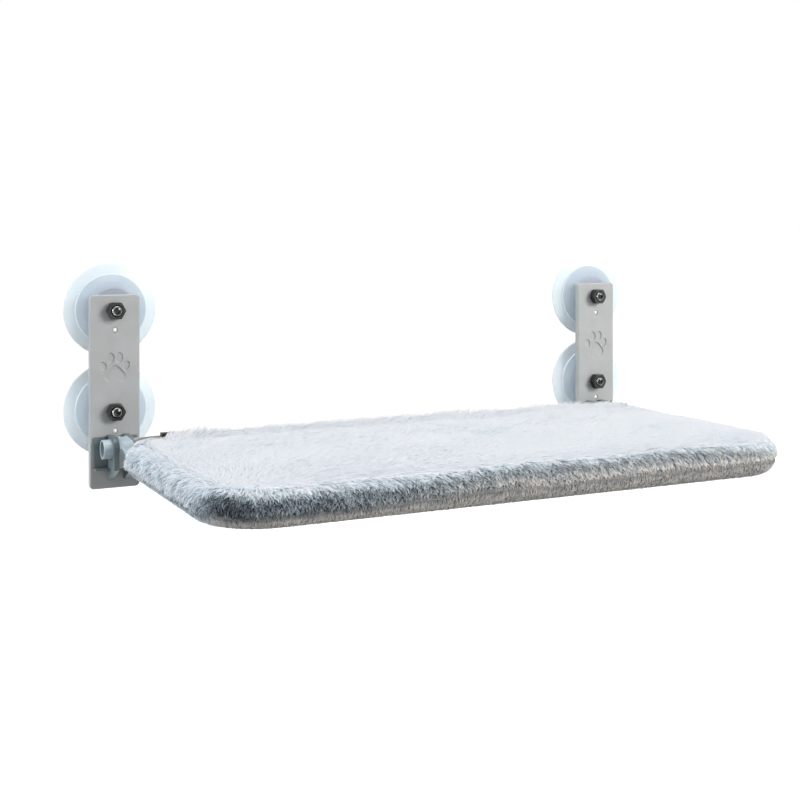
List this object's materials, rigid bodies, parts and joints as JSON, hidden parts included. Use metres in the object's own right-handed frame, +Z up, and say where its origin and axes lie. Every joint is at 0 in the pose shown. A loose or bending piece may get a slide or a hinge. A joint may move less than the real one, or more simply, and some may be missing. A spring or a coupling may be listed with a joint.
{
  "type": "cat window hammock",
  "caption": "Rectangular plush cat bed on a folding frame that hangs from two cup-held bracket plates on a window",
  "frame": {"origin": "middle of the four suction cups, on the window pane's plane, mount window_grip", "axes": "+X along the window to the right as seen from the room, +Y out of the room into the glass, +Z up"},
  "size_m": [0.533, 0.2857, 0.1781],
  "materials": {
    "grey_paint": "satin light grey powder coat",
    "blue_grey_paint": "satin blue-grey powder coat",
    "clear_vinyl": "translucent bluish white, glossy",
    "bright_steel": "bright plated",
    "black_steel": "blackened, slightly glossy",
    "raw_steel": "zinc plated",
    "sling_fabric": "woven dark grey",
    "foam": "open-cell foam",
    "plush_top": "pale blue-grey long pile",
    "plush_lower": "warm grey long pile",
    "zip_fabric": "woven grey-brown tape",
    "dark_metal": "glossy near black"
  },
  "bodies": {
    "brackets": {"bracket_plate_left": "grey_paint", "suction_cup_left_upper": "clear_vinyl", "cup_stud_left_upper": "bright_steel", "cup_nut_left_upper": "black_steel", "suction_cup_left_lower": "clear_vinyl", "cup_stud_left_lower": "bright_steel", "cup_nut_left_lower": "black_steel", "hinge_seat_left": "blue_grey_paint", "seat_rivet_left_outer": "raw_steel", "seat_rivet_left_inner": "raw_steel", "bracket_plate_right": "grey_paint", "suction_cup_right_upper": "clear_vinyl", "cup_stud_right_upper": "bright_steel", "cup_nut_right_upper": "black_steel", "suction_cup_right_lower": "clear_vinyl", "cup_stud_right_lower": "bright_steel", "cup_nut_right_lower": "black_steel", "hinge_seat_right": "blue_grey_paint", "seat_rivet_right_outer": "raw_steel", "seat_rivet_right_inner": "raw_steel"},
    "bed": {"rear_tube": "blue_grey_paint", "support_arm_left": "blue_grey_paint", "grub_screw_left": "black_steel", "arm_bolt_left_inner": "raw_steel", "arm_bolt_left_outer": "raw_steel", "support_arm_right": "blue_grey_paint", "grub_screw_right": "black_steel", "arm_bolt_right_inner": "raw_steel", "arm_bolt_right_outer": "raw_steel", "rear_bow": "raw_steel", "front_bow": "raw_steel", "bow_joiner_left": "raw_steel", "bow_joiner_right": "raw_steel", "sling_panel": "sling_fabric", "foam_pad": "foam", "plush_cover_top": "plush_top", "plush_cover_lower": "plush_lower", "zip_tape": "zip_fabric"},
    "zip_slider_body": {"zip_slider": "dark_metal"},
    "zip_pull_body": {"zip_pull": "dark_metal"}
  },
  "joints": [
    {"name": "bed_fold", "type": "hinge", "parent": "brackets", "child": "bed", "pos_m": [0, -0.0305, -0.0674], "axis": [-1, 0, 0], "range_deg": [0, 75]},
    {"name": "zip_slide", "type": "slide", "parent": "bed", "child": "zip_slider_body", "axis": [1, 0, 0], "range_m": [0, 0.385]},
    {"name": "zip_pull_hinge", "type": "hinge", "parent": "zip_slider_body", "child": "zip_pull_body", "pos_m": [-0.1943, -0.06, -0.0535], "axis": [0, -1, 0], "range_deg": [0, 120]}
  ]
}
